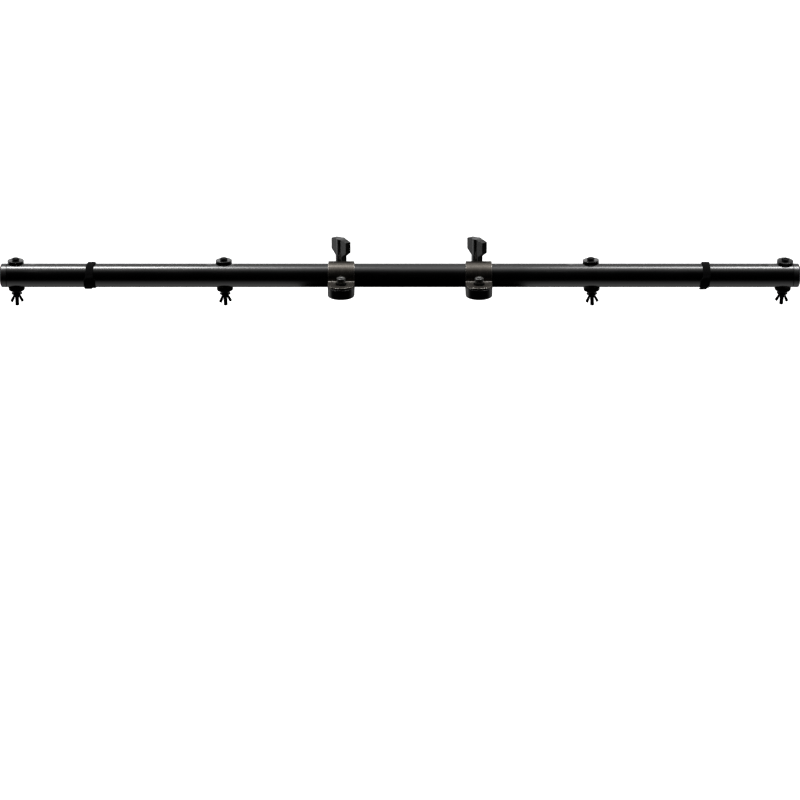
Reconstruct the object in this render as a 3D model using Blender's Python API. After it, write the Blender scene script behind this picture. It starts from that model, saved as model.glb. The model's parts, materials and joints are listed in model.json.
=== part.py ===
"""Lighting crossbar: a steel tube held across the top of a loudspeaker by two saddle clamps.

Metres, +Z up, +X along the tube. The origin lies midway between the two clamps, on the plane of
their undersides. Each clamp is a slotted base and a bent strap, held down by a socket-head screw in
front of the tube and by a wing knob behind it. Four leaning hanger bolts pass through the tube and
carry a washer and a wing nut for a lamp bracket each. Two hook-and-loop cable ties wrap the tube.
"""

import math

import bmesh
import bpy
from mathutils import Matrix, Vector

# ---------------------------------------------------------------- driving dimensions
GAP = 0.0003                    # left between faces that touch

TUBE_RADIUS = 0.0175
TUBE_WALL = 0.002
TUBE_LENGTH = 1.156
TUBE_AXIS_Z = 0.0215            # above the plane of the clamps' undersides
TUBE_OFFSET_X = -0.0147         # the tube as it is set in the clamps
TUBE_SIDES = 40

CAP_COLLAR = 0.009
CAP_CHAMFER = 0.0018
CAP_DOME = 0.0025
CAP_PLUG_DEPTH = 0.008

CLAMP_X = 0.101                 # each clamp from the origin
STRAP_THICKNESS = 0.0028
STRAP_WIDTH = 0.0383
FLANGE_THICKNESS = 0.003
FLANGE_TOP = -0.0032            # from here on, heights are from the tube's axis
SCREW_Y = 0.034                 # the front screw and the rear knob, from the tube's axis
BASE_WIDTH = 0.0395
BASE_EDGE_RADIUS = 0.0015

CLAMP_SCREW_RADIUS = 0.004      # M8
CLAMP_SCREW_HEAD = (0.0065, 0.008)      # radius, height
CLAMP_SCREW_SOCKET = (0.006, 0.004)     # across flats, depth
CLAMP_SCREW_RECESS = 0.001      # from the base's underside up to the screw's end
CLAMP_WASHER = (0.008, 0.0016)  # radius, thickness

STUD_RADIUS = 0.004             # M8
STUD_DEPTH = 0.016              # how far the stud reaches up into the knob
KNOB_STEM_RADIUS = 0.0075
KNOB_HUB_RADIUS = 0.0068
KNOB_STEM_TOP = 0.020
KNOB_TIP = (0.0285, 0.0437)     # lower and upper corner of a wing's tip
KNOB_CROWN = 0.0462
KNOB_HALF_SPAN = 0.0176
KNOB_THICKNESS = 0.0094
KNOB_TURN = math.radians(-53)
KNOB_OFFSET_X = {"left": -0.0009, "right": -0.0019}

LAMP_BOLT_X = (-0.565, -0.2585, 0.2815, 0.565)      # from the tube's middle
LAMP_BOLT_LEAN = (0.0, -1.5, -2.8, 2.3)             # degrees about +Y, from loose holes
LAMP_BOLT_PITCH = (0.0, 0.0, 0.0, 6.0)              # degrees about +X, the hole's place round the tube
LAMP_HOLE_RADIUS = 0.0046
BOLT_RADIUS = 0.003             # M6
BOLT_HEAD = (0.010, 0.0030)     # across flats, height
BOLT_TIP = -0.0462
NUT_ACROSS = 0.010
NUT_HEIGHT = 0.0034
SPACER_RADIUS = 0.012
SPACER_THICKNESS = {"top": 0.0054, "bottom": 0.0050}
SPACER_NOSE = (0.0098, 0.0024)  # radius of its lower face, height of its tapered part
LAMP_WASHER = (0.008, 0.0014)
WING_HUB = (0.0056, 0.0046, 0.0047)     # seat radius, nose radius, height
WING_TIP = (0.0098, 0.0131)     # radius and depth of the wing's tip
WING_BREADTH = 0.0044
WING_THICKNESS = 0.0022
WING_TURN = (14, 14, 14, -11)   # degrees about each bolt

TIE_X = (-0.4556, 0.450)        # from the tube's middle
TIE_WIDTH = 0.011
TIE_THICKNESS = 0.0022

FINE = 20                       # sides of small round pieces
SIDE_NAMES = ("left", "right")
BOLT_NAMES = ("far_left", "inner_left", "inner_right", "far_right")


# ---------------------------------------------------------------- making and placing pieces
def clear_scene():
    for existing in list(bpy.data.objects):
        bpy.data.objects.remove(existing, do_unlink=True)


def material(name, colour, roughness, metallic):
    made = bpy.data.materials.new(name)
    made.use_nodes = True
    shader = made.node_tree.nodes["Principled BSDF"]
    shader.inputs["Base Color"].default_value = (*colour, 1.0)
    shader.inputs["Roughness"].default_value = roughness
    shader.inputs["Metallic"].default_value = metallic
    return made


def piece(name, mesh_data, finish, parent=None):
    """A named object from a bmesh, shaded smooth with its real edges kept sharp."""
    bmesh.ops.recalc_face_normals(mesh_data, faces=mesh_data.faces)
    mesh = bpy.data.meshes.new(name)
    mesh_data.to_mesh(mesh)
    mesh_data.free()
    mesh.shade_smooth()
    mesh.set_sharp_from_angle(angle=math.radians(32))
    obj = bpy.data.objects.new(name, mesh)
    bpy.context.scene.collection.objects.link(obj)
    if finish:
        mesh.materials.append(finish)
    obj.parent = parent
    return obj


def helper(name, mesh_data, parent=None):
    """An object that only shapes others, so it isn't a part."""
    obj = piece(name, mesh_data, None, parent)
    obj.hide_render = True
    obj.display_type = "WIRE"
    return obj


def combine(obj, other, operation):
    modifier = obj.modifiers.new(other.name, "BOOLEAN")
    modifier.operation = operation
    modifier.solver = "EXACT"
    modifier.object = other


def frame_at(name, location, parent=None):
    empty = bpy.data.objects.new(name, None)
    empty.empty_display_size = 0.01
    bpy.context.scene.collection.objects.link(empty)
    empty.location = location
    empty.parent = parent
    return empty


# ---------------------------------------------------------------- basic shapes
def turned(profile, steps, ring=False):
    """A profile of (radius, height) points turned about Z; ring=True joins its last point to its first."""
    made = bmesh.new()
    rows = []
    for radius, height in profile:
        if radius == 0:
            rows.append([made.verts.new((0, 0, height))])
            continue
        turn = 2 * math.pi / steps
        corners = range(steps)
        rows.append([made.verts.new((radius * math.cos(turn * i), radius * math.sin(turn * i), height))
                     for i in corners])
    pairs = list(zip(rows, rows[1:]))
    if ring:
        pairs.append((rows[-1], rows[0]))
    for upper, lower in pairs:
        for i in range(steps):
            j = (i + 1) % steps
            corners = [upper[i % len(upper)], upper[j % len(upper)]]
            corners += [lower[j % len(lower)], lower[i % len(lower)]]
            made.faces.new(list(dict.fromkeys(corners)))
    return made


def extruded(outline, low, high):
    """An outline of (x, y) points extruded along Z."""
    made = bmesh.new()
    floor = made.faces.new([made.verts.new((x, y, low)) for x, y in outline])
    raised = bmesh.ops.extrude_face_region(made, geom=[floor])["geom"]
    corners = [item for item in raised if isinstance(item, bmesh.types.BMVert)]
    bmesh.ops.translate(made, verts=corners, vec=(0, 0, high - low))
    return made


def arc(centre, radius, start, end, steps):
    """Points on an arc; the angles are in degrees."""
    points = []
    for i in range(steps + 1):
        angle = math.radians(start + (end - start) * i / steps)
        points.append((centre[0] + radius * math.cos(angle), centre[1] + radius * math.sin(angle)))
    return points


def stadium(half_length, radius, steps=16):
    """A plan outline with straight sides along Y and a half circle at each end."""
    middle = half_length - radius
    return arc((0, middle), radius, 0, 180, steps) + arc((0, -middle), radius, 180, 360, steps)


def hexagon(across):
    corner = across / math.sqrt(3)
    return [(corner * math.cos(math.radians(a)), corner * math.sin(math.radians(a)))
            for a in range(0, 360, 60)]


def about_x(made):
    """Turns a shape made along Z so that it lies along X."""
    bmesh.ops.rotate(made, verts=made.verts, matrix=Matrix.Rotation(math.pi / 2, 3, "Y"))
    return made


def ring_profile(inner, outer, low, high):
    return [(inner, high), (outer, high), (outer, low), (inner, low)]


# ---------------------------------------------------------------- the tube
def build_tube(finishes, bar, bolt_frames):
    bore = TUBE_RADIUS - TUBE_WALL
    half = TUBE_LENGTH / 2
    wall = turned(ring_profile(bore, TUBE_RADIUS, -half, half), TUBE_SIDES, ring=True)
    half_side = Matrix.Rotation(math.pi / TUBE_SIDES, 3, "Z")
    bmesh.ops.rotate(wall, verts=wall.verts, matrix=half_side)
    tube = piece("tube", about_x(wall), finishes["tube"], bar)
    for name, holder in zip(BOLT_NAMES, bolt_frames):
        reach = TUBE_RADIUS * 1.5
        profile = [(0, reach), (LAMP_HOLE_RADIUS, reach), (LAMP_HOLE_RADIUS, -reach), (0, -reach)]
        combine(tube, helper(name + "_hole", turned(profile, 20), holder), "DIFFERENCE")


def build_cap(side, finishes, bar):
    plug = TUBE_RADIUS - TUBE_WALL - GAP
    wall = 0.002
    crown = CAP_COLLAR + CAP_DOME
    rim = TUBE_RADIUS - CAP_CHAMFER
    dome = [(rim * math.cos(math.radians(a)), CAP_COLLAR + CAP_DOME * math.sin(math.radians(a)))
            for a in (70, 40, 0)]
    profile = [(0, crown)] + dome
    profile += [(TUBE_RADIUS, CAP_COLLAR - CAP_CHAMFER), (TUBE_RADIUS, GAP), (plug, GAP)]
    profile += [(plug, GAP - CAP_PLUG_DEPTH), (plug - wall, GAP - CAP_PLUG_DEPTH)]
    profile += [(plug - wall, CAP_COLLAR - wall), (0, CAP_COLLAR - wall)]
    cap = piece("end_cap_" + side, about_x(turned(profile, TUBE_SIDES)), finishes["cap"], bar)
    cap.location.x = TUBE_LENGTH / 2
    if side == "left":
        cap.location.x = -TUBE_LENGTH / 2
        cap.rotation_euler.z = math.pi


def build_tie(side, x, finishes, bar):
    inner = TUBE_RADIUS + GAP
    outer = inner + TIE_THICKNESS
    profile = ring_profile(inner, outer, -TIE_WIDTH / 2, TIE_WIDTH / 2)
    tie = piece("cable_tie_" + side, about_x(turned(profile, TUBE_SIDES, ring=True)), finishes["tie"], bar)
    tie.location.x = x


# ---------------------------------------------------------------- a hanger bolt and what is on it
def rock(lean):
    """How far a disc's middle stands off the tube when it leans and rests on one edge."""
    return SPACER_RADIUS * abs(math.sin(math.radians(lean)))


def stack_heights(lean):
    """Heights along the bolt from the tube's axis, from its head down to its tip."""
    top_seat = TUBE_RADIUS + GAP + rock(lean)
    top_face = top_seat + SPACER_THICKNESS["top"]
    heights = {"top_spacer": (top_seat, top_face), "head": top_face + GAP}
    low = -top_seat
    for name, thickness in (("bottom_spacer", SPACER_THICKNESS["bottom"]), ("lock_nut", NUT_HEIGHT),
                            ("washer", LAMP_WASHER[1]), ("wing_nut", WING_HUB[2])):
        heights[name] = (low - thickness, low)
        low -= thickness + GAP
    return heights


def build_lamp_bolt(name, finishes, holder, heights):
    across, height = BOLT_HEAD
    seat = heights["head"]
    corner = across / math.sqrt(3)
    top = seat + height
    blank = [(0, top), (across / 2 * 0.95, top), (corner, top - 0.0008), (corner, seat), (0, seat)]
    head = piece(name + "_bolt", turned(blank, FINE), finishes["bolt"], holder)
    combine(head, helper(name + "_hex", extruded(hexagon(across), seat - 0.001, top + 0.001), holder), "INTERSECT")
    tip = BOLT_TIP
    chamfer = 0.0006
    shank = [(0, seat + 0.001), (BOLT_RADIUS, seat + 0.001), (BOLT_RADIUS, tip + chamfer)]
    shank += [(BOLT_RADIUS - chamfer, tip), (0, tip)]
    combine(head, helper(name + "_shank", turned(shank, 16), holder), "UNION")


def build_ring(name, finish, holder, inner, outer, span):
    return piece(name, turned(ring_profile(inner, outer, *span), FINE, ring=True), finish, holder)


def build_spacer(name, finish, holder, span):
    """A disc that tapers to its lower face."""
    low, high = span
    bore = BOLT_RADIUS + GAP
    nose, taper = SPACER_NOSE
    profile = [(bore, high), (SPACER_RADIUS, high), (SPACER_RADIUS, low + taper), (nose, low), (bore, low)]
    piece(name, turned(profile, FINE, ring=True), finish, holder)


def build_lock_nut(name, finishes, holder, span):
    low, high = span
    corner = NUT_ACROSS / math.sqrt(3)
    inner = BOLT_RADIUS + GAP
    flat = NUT_ACROSS / 2 * 0.96
    profile = [(inner, high), (flat, high), (corner, high - 0.0007)]
    profile += [(corner, low + 0.0009), (flat, low), (inner, low)]
    nut = piece(name + "_lock_nut", turned(profile, FINE, ring=True), finishes["bolt"], holder)
    combine(nut, helper(name + "_nut_hex", extruded(hexagon(NUT_ACROSS), low - 0.001, high + 0.001), holder),
            "INTERSECT")


def wing_outline():
    """One ear of a wing nut, as (radius, depth below the seat) points: a slanting bar with a round end."""
    reach, drop = WING_TIP
    half = WING_BREADTH / 2
    root = BOLT_RADIUS + 0.0005
    slant = 31
    end = arc((reach - half, half - drop), half, slant, slant - 180, 8)
    return [(root, -0.0014), (0.0049, -0.0014)] + end + [(root, -0.0064)]


def build_wing_nut(name, finishes, holder, top, turn):
    seat_radius, nose_radius, height = WING_HUB
    inner = BOLT_RADIUS + GAP
    profile = [(inner, 0), (seat_radius, 0), (seat_radius, -0.0012), (nose_radius, -height), (inner, -height)]
    nut = piece(name + "_wing_nut", turned(profile, FINE, ring=True), finishes["bolt"], holder)
    nut.location.z = top
    nut.rotation_euler.z = math.radians(turn)
    for number, facing in enumerate((0, math.pi)):
        wing = extruded(wing_outline(), -WING_THICKNESS / 2, WING_THICKNESS / 2)
        bmesh.ops.rotate(wing, verts=wing.verts, matrix=Matrix.Rotation(math.pi / 2, 3, "X"))
        bmesh.ops.rotate(wing, verts=wing.verts, matrix=Matrix.Rotation(facing, 3, "Z"))
        combine(nut, helper(f"{name}_wing_{number}", wing, nut), "UNION")


def build_hanger(name, lean, turn, finishes, holder):
    heights = stack_heights(lean)
    bore = BOLT_RADIUS + GAP
    build_lamp_bolt(name, finishes, holder, heights)
    build_spacer(name + "_top_spacer", finishes["spacer"], holder, heights["top_spacer"])
    build_spacer(name + "_bottom_spacer", finishes["spacer"], holder, heights["bottom_spacer"])
    build_lock_nut(name, finishes, holder, heights["lock_nut"])
    build_ring(name + "_washer", finishes["bolt"], holder, bore, LAMP_WASHER[0], heights["washer"])
    build_wing_nut(name, finishes, holder, heights["wing_nut"][1], turn)


# ---------------------------------------------------------------- a clamp
def along_x(outline, width):
    """Extrudes an outline of (y, z) points along X, centred on X = 0."""
    made = extruded(outline, -width / 2, width / 2)
    turn = Matrix(((0, 0, 1), (1, 0, 0), (0, 1, 0)))
    bmesh.ops.transform(made, matrix=turn.to_4x4(), verts=made.verts)
    return made


def strap_outline():
    """The bent strap's end view: a half ring over the tube with a flange at each foot."""
    inner = TUBE_RADIUS + GAP
    outer = inner + STRAP_THICKNESS
    toe = SCREW_Y + STRAP_WIDTH
    foot = FLANGE_TOP - FLANGE_THICKNESS
    bend = 0.0010
    outside = [(toe, FLANGE_TOP)] + arc((outer + bend, FLANGE_TOP + bend), bend, 270, 180, 4)
    outside += arc((0, 0), outer, 0, 180, 24)
    outside += arc((-outer - bend, FLANGE_TOP + bend), bend, 0, -90, 4) + [(-toe, FLANGE_TOP)]
    inside = [(-toe, foot), (-inner, foot)] + arc((0, 0), inner, 180, 0, 20) + [(inner, foot), (toe, foot)]
    return outside + inside


def round_hole(name, radius, low, high, location, parent):
    cutter = helper(name, turned([(0, high), (radius, high), (radius, low), (0, low)], FINE), parent)
    cutter.location = location
    return cutter


def hold_down_points(side):
    """Where the front screw and the rear knob's stud go down through the flanges."""
    return (("front", 0.0, -SCREW_Y), ("rear", KNOB_OFFSET_X[side], SCREW_Y))


def build_strap(side, finishes, holder):
    strap = piece(side + "_clamp_strap", along_x(strap_outline(), STRAP_WIDTH), finishes["clamp"], holder)
    end = SCREW_Y + STRAP_WIDTH / 2
    plan = extruded(stadium(end, STRAP_WIDTH / 2), -0.03, 0.03)
    bmesh.ops.scale(plan, verts=plan.verts, vec=(1.001, 1, 1))
    combine(strap, helper(side + "_strap_plan", plan, holder), "INTERSECT")
    for name, x, y in hold_down_points(side):
        hole = round_hole(f"{side}_{name}_strap_hole", CLAMP_SCREW_RADIUS + 0.0004, -0.02, 0.01, (x, y, 0), holder)
        combine(strap, hole, "DIFFERENCE")


def build_base(side, finishes, holder):
    end = SCREW_Y + BASE_WIDTH / 2
    top = FLANGE_TOP - FLANGE_THICKNESS - GAP
    block = extruded(stadium(end, BASE_WIDTH / 2), -TUBE_AXIS_Z, top)
    lower = [edge for edge in block.edges
             if all(abs(corner.co.z + TUBE_AXIS_Z) < 1e-6 for corner in edge.verts)]
    bmesh.ops.bevel(block, geom=lower, offset=BASE_EDGE_RADIUS, segments=2, profile=0.5, affect="EDGES")
    base = piece(side + "_clamp_base", block, finishes["base"], holder)
    channel = along_x(arc((0, 0), TUBE_RADIUS + GAP, 0, 360, TUBE_SIDES)[:-1], BASE_WIDTH * 1.2)
    combine(base, helper(side + "_channel", channel, holder), "DIFFERENCE")
    for name, x, y in hold_down_points(side):
        hole = round_hole(f"{side}_{name}_base_hole", CLAMP_SCREW_RADIUS + GAP, -0.03, 0.0, (x, y, 0), holder)
        combine(base, hole, "DIFFERENCE")


def build_clamp_screw(side, finishes, holder):
    """A washer and a socket-head screw that reaches through the flange into the base."""
    washer_low = FLANGE_TOP + GAP
    washer = build_ring(side + "_front_washer", finishes["screw"], holder, CLAMP_SCREW_RADIUS + GAP,
                        CLAMP_WASHER[0], (washer_low, washer_low + CLAMP_WASHER[1]))
    washer.location.y = -SCREW_Y
    radius, height = CLAMP_SCREW_HEAD
    seat = washer_low + CLAMP_WASHER[1] + GAP
    top = seat + height
    tip = -TUBE_AXIS_Z + CLAMP_SCREW_RECESS
    chamfer = 0.0008
    profile = [(0, top), (radius - chamfer / 2, top), (radius, top - chamfer / 2), (radius, seat)]
    profile += [(CLAMP_SCREW_RADIUS, seat), (CLAMP_SCREW_RADIUS, tip + chamfer)]
    profile += [(CLAMP_SCREW_RADIUS - chamfer, tip), (0, tip)]
    screw = piece(side + "_front_screw", turned(profile, FINE), finishes["screw"], holder)
    screw.location.y = -SCREW_Y
    across, depth = CLAMP_SCREW_SOCKET
    combine(screw, helper(side + "_front_socket", extruded(hexagon(across), top - depth, top + 0.001), screw),
            "DIFFERENCE")


def knob_outline():
    """The wing's face, as (reach, height) points: a crowned top, upright tips and a tapered foot."""
    low, high = KNOB_TIP
    rise = KNOB_CROWN - high
    right = [(KNOB_STEM_RADIUS, KNOB_STEM_TOP), (KNOB_HALF_SPAN, low)]
    steps = 10
    crown = []
    for i in range(steps + 1):
        share = 1 - 2 * i / steps
        crown.append((KNOB_HALF_SPAN * share, high + rise * (1 - share * share)))
    left = [(-reach, height) for reach, height in reversed(right)]
    return right + crown + left


def build_knob(side, finishes, holder):
    """The wing knob and its stud, which hold the strap's rear flange down through a washer."""
    turning = frame_at(side + "_knob_axis", (KNOB_OFFSET_X[side], SCREW_Y, 0), holder)
    washer_low = FLANGE_TOP + GAP
    washer_top = washer_low + CLAMP_WASHER[1]
    build_ring(side + "_knob_washer", finishes["screw"], turning, STUD_RADIUS + GAP, CLAMP_WASHER[0],
               (washer_low, washer_top))
    hub_low = washer_top + GAP
    stud_top = hub_low + STUD_DEPTH
    stud_low = -TUBE_AXIS_Z + CLAMP_SCREW_RECESS
    chamfer = 0.0008
    stud = [(0, stud_top), (STUD_RADIUS, stud_top), (STUD_RADIUS, stud_low + chamfer)]
    stud += [(STUD_RADIUS - chamfer, stud_low), (0, stud_low)]
    piece(side + "_knob_stud", turned(stud, 24), finishes["screw"], turning)
    hub = [(0, KNOB_CROWN - 0.0002), (KNOB_HUB_RADIUS, KNOB_CROWN - 0.0002)]
    hub += [(KNOB_HUB_RADIUS, KNOB_TIP[0]), (KNOB_STEM_RADIUS, KNOB_STEM_TOP + 0.001), (KNOB_STEM_RADIUS, hub_low)]
    hub += [(0, hub_low)]
    wing = extruded(knob_outline(), -KNOB_THICKNESS / 2, KNOB_THICKNESS / 2)
    bmesh.ops.rotate(wing, verts=wing.verts, matrix=Matrix.Rotation(math.pi / 2, 3, "X"))
    knob = piece(side + "_knob", wing, finishes["knob"], turning)
    knob.rotation_euler.z = KNOB_TURN
    combine(knob, helper(side + "_knob_hub", turned(hub, FINE), turning), "UNION")
    socket = round_hole(side + "_knob_socket", STUD_RADIUS + GAP, hub_low - 0.001, stud_top + GAP, (0, 0, 0), turning)
    combine(knob, socket, "DIFFERENCE")


def build_clamp(side, finishes, holder):
    build_base(side, finishes, holder)
    build_strap(side, finishes, holder)
    build_clamp_screw(side, finishes, holder)
    build_knob(side, finishes, holder)


def build_finishes():
    return {
        "tube": material("black_powder_coat", (0.012, 0.012, 0.013), 0.28, 0.0),
        "cap": material("black_cap_plastic", (0.015, 0.015, 0.016), 0.30, 0.0),
        "clamp": material("satin_grey_steel", (0.085, 0.083, 0.078), 0.38, 0.6),
        "base": material("black_clamp_casting", (0.022, 0.021, 0.020), 0.45, 0.0),
        "screw": material("blackened_screw_steel", (0.10, 0.10, 0.10), 0.35, 0.8),
        "bolt": material("black_fastener_coating", (0.018, 0.018, 0.018), 0.40, 0.3),
        "spacer": material("black_spacer_rubber", (0.016, 0.016, 0.016), 0.60, 0.0),
        "knob": material("black_knob_plastic", (0.030, 0.030, 0.030), 0.45, 0.0),
        "tie": material("hook_and_loop_fabric", (0.010, 0.010, 0.011), 0.90, 0.0),
    }


def main():
    clear_scene()
    finishes = build_finishes()
    axis = frame_at("tube_axis", (0, 0, TUBE_AXIS_Z))
    for side, sign in zip(SIDE_NAMES, (-1, 1)):
        build_clamp(side, finishes, frame_at(side + "_clamp", (sign * CLAMP_X, 0, 0), axis))
    bar = frame_at("bar", (TUBE_OFFSET_X, 0, 0), axis)
    bolt_frames = []
    for name, x, lean, pitch in zip(BOLT_NAMES, LAMP_BOLT_X, LAMP_BOLT_LEAN, LAMP_BOLT_PITCH):
        holder = frame_at(name + "_axis", (x, 0, 0), bar)
        holder.rotation_euler = (math.radians(pitch), math.radians(lean), 0)
        bolt_frames.append(holder)
    build_tube(finishes, bar, bolt_frames)
    for name, lean, turn, holder in zip(BOLT_NAMES, LAMP_BOLT_LEAN, WING_TURN, bolt_frames):
        build_hanger(name, lean, turn, finishes, holder)
    for side, x in zip(SIDE_NAMES, TIE_X):
        build_cap(side, finishes, bar)
        build_tie(side, x, finishes, bar)


main()
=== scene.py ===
"""Looks of the lighting crossbar: fine surfaces, materials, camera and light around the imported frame.

Metres, in the frame of the CAD model: +X along the tube, +Z up, the camera on the -Y side.
"""

import json
import math

import bmesh
import bpy
from mathutils import Matrix, Vector, noise


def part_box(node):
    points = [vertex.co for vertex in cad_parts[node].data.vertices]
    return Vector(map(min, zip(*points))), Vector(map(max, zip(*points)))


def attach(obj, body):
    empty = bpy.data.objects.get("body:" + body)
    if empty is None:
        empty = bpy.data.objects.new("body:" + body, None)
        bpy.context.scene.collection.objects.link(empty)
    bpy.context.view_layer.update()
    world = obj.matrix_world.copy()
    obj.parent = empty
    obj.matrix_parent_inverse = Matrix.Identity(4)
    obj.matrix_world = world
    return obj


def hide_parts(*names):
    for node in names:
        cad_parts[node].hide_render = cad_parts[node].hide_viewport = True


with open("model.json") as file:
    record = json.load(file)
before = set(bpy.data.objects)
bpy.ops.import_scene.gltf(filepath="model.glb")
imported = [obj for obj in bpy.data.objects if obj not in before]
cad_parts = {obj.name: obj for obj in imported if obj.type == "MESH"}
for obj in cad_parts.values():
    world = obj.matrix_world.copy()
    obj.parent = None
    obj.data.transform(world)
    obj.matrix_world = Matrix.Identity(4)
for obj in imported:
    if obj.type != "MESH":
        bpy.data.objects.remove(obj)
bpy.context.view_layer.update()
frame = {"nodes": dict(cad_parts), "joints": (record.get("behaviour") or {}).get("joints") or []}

SIDES = ("left", "right")
BOLTS = ("far_left", "inner_left", "inner_right", "far_right")
NODES = frame["nodes"]
JOINTS = {joint["name"]: joint for joint in frame["joints"]}
GAP = 0.0003                    # left between pieces that touch


# ---------------------------------------------------------------- reading the frame
def span(node, origin, axis):
    """A CAD node's lowest and highest place along an axis, and its least and largest distance from it."""
    places, distances = [], []
    for vertex in NODES[node].data.vertices:
        offset = vertex.co - origin
        along = offset.dot(axis)
        places.append(along)
        distances.append((offset - axis * along).length)
    return min(places), max(places), min(distances), max(distances)


def middle(node):
    low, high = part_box(node)
    return (low + high) / 2


TUBE_MIDDLE = middle("tube")
TUBE_AXIS = Vector((1, 0, 0))
TUBE_LOW, TUBE_HIGH, TUBE_BORE, TUBE_RADIUS = span("tube", TUBE_MIDDLE, TUBE_AXIS)
AXIS_Z = TUBE_MIDDLE.z
CLAMP_X = {side: middle(side + "_clamp_base").x for side in SIDES}


def clamp_frame(side):
    """A clamp's own axes: its origin lies on the tube's axis, in the middle of the clamp."""
    return Matrix.Translation((CLAMP_X[side], 0, AXIS_Z))


def bolt_frame(bolt):
    """A hanger bolt's own axes: +Z up along the bolt, its origin on the tube's axis."""
    joint = JOINTS[bolt + "_wing_nut_turn"]
    up = -Vector(joint["axis"])
    across = Vector((up.z, 0, -up.x)).normalized()
    turned_axes = Matrix((across, up.cross(across), up)).transposed().to_4x4()
    return Matrix.Translation(joint["pos_m"]) @ turned_axes


def knob_frame(side):
    """The knob's own axes, before its wings are turned."""
    return Matrix.Translation(JOINTS[side + "_knob_turn"]["pos_m"])


def local_span(node, placement):
    """span() along the Z axis of a placement."""
    return span(node, placement.translation, placement.col[2].to_3d())


# ---------------------------------------------------------------- basic shapes
def arc(centre, radius, start, end, steps):
    """Points on an arc, both ends included; the angles are in degrees."""
    points = []
    for i in range(steps + 1):
        angle = math.radians(start + (end - start) * i / steps)
        points.append((centre[0] + radius * math.cos(angle), centre[1] + radius * math.sin(angle)))
    return points


def rounded(outline, radius, steps):
    """The same outline with each corner replaced by a small arc-like curve."""
    result = []
    count = len(outline)
    for i, corner in enumerate(outline):
        here = Vector(corner)
        before = Vector(outline[i - 1]) - here
        after = Vector(outline[(i + 1) % count]) - here
        cut = min(radius, before.length * 0.45, after.length * 0.45)
        start = here + before.normalized() * cut
        end = here + after.normalized() * cut
        for step in range(steps + 1):
            t = step / steps
            result.append(tuple(start * (1 - t) ** 2 + here * 2 * t * (1 - t) + end * t * t))
    return result


def turned(profile, steps, ring=True, waver=None):
    """A profile of (radius, height) points turned about Z. waver(angle, height) scales the radius there."""
    made = bmesh.new()
    rows = []
    for radius, height in profile:
        if radius == 0:
            rows.append([made.verts.new((0, 0, height))])
            continue
        row = []
        for i in range(steps):
            angle = 2 * math.pi * i / steps
            reach = radius * (waver(angle, height) if waver else 1)
            row.append(made.verts.new((reach * math.cos(angle), reach * math.sin(angle), height)))
        rows.append(row)
    pairs = list(zip(rows, rows[1:]))
    if ring:
        pairs.append((rows[-1], rows[0]))
    for upper, lower in pairs:
        for i in range(steps):
            j = (i + 1) % steps
            corners = [upper[i % len(upper)], upper[j % len(upper)]]
            corners += [lower[j % len(lower)], lower[i % len(lower)]]
            made.faces.new(list(dict.fromkeys(corners)))
    return made


def extruded(outline, low, high):
    """An outline of (x, y) points extruded along Z."""
    made = bmesh.new()
    floor = made.faces.new([made.verts.new((x, y, low)) for x, y in outline])
    raised = bmesh.ops.extrude_face_region(made, geom=[floor])["geom"]
    corners = [item for item in raised if isinstance(item, bmesh.types.BMVert)]
    bmesh.ops.translate(made, verts=corners, vec=(0, 0, high - low))
    return made


def along_x(outline, width):
    """An outline of (y, z) points extruded along X, centred on X = 0."""
    made = extruded(outline, -width / 2, width / 2)
    turn = Matrix(((0, 0, 1), (1, 0, 0), (0, 1, 0)))
    bmesh.ops.transform(made, matrix=turn.to_4x4(), verts=made.verts)
    return made


def circle(radius, steps):
    return arc((0, 0), radius, 0, 360, steps)[:-1]


def hexagon(across):
    """A regular hexagon, given its size across the flats."""
    return circle(across / math.sqrt(3), 6)


def stadium(half_length, radius):
    """A plan outline with straight sides along Y and a half circle at each end."""
    straight, steps = half_length - radius, 40
    return arc((0, straight), radius, 0, 180, steps) + arc((0, -straight), radius, 180, 360, steps)


def cylinder(radius, low, high, steps=48):
    return turned([(0, high), (radius, high), (radius, low), (0, low)], steps, ring=False)


# ---------------------------------------------------------------- making pieces
def shaped(name, made, placement, sharp=35):
    """A mesh object from a bmesh, shaded smooth with the edges over an angle in degrees kept sharp."""
    bmesh.ops.recalc_face_normals(made, faces=made.faces)
    mesh = bpy.data.meshes.new(name)
    made.to_mesh(mesh)
    made.free()
    mesh.shade_smooth()
    mesh.set_sharp_from_angle(angle=math.radians(sharp))
    obj = bpy.data.objects.new(name, mesh)
    bpy.context.scene.collection.objects.link(obj)
    obj.matrix_world = placement
    bpy.context.view_layer.update()
    return obj


def combine(obj, made, operation, placement):
    """Cuts, joins or intersects an object with a shape, at once."""
    other = shaped("shape", made, placement)
    modifier = obj.modifiers.new("combine", "BOOLEAN")
    modifier.operation = operation
    modifier.solver = "EXACT"
    modifier.object = other
    apply_modifiers(obj)
    bpy.data.objects.remove(other, do_unlink=True)


def apply_modifiers(obj):
    graph = bpy.context.evaluated_depsgraph_get()
    mesh = bpy.data.meshes.new_from_object(obj.evaluated_get(graph))
    obj.modifiers.clear()
    obj.data = mesh


def soften(obj, width, segments, angle, wear_and_highlight=False):
    """Rounds the edges over an angle in degrees. With wear_and_highlight, the new faces take the second
    material: edge wear that also serves as a painted highlight.
    """
    bevel = obj.modifiers.new("edges", "BEVEL")
    bevel.width = width
    bevel.segments = segments
    bevel.limit_method = "ANGLE"
    bevel.angle_limit = math.radians(angle)
    bevel.miter_outer = "MITER_ARC"
    bevel.use_clamp_overlap = True
    if wear_and_highlight:
        bevel.material = 1
    apply_modifiers(obj)
    obj.data.shade_smooth()
    obj.data.set_sharp_from_angle(angle=math.radians(50))
    normals = obj.modifiers.new("normals", "WEIGHTED_NORMAL")
    normals.keep_sharp = True
    apply_modifiers(obj)


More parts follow.
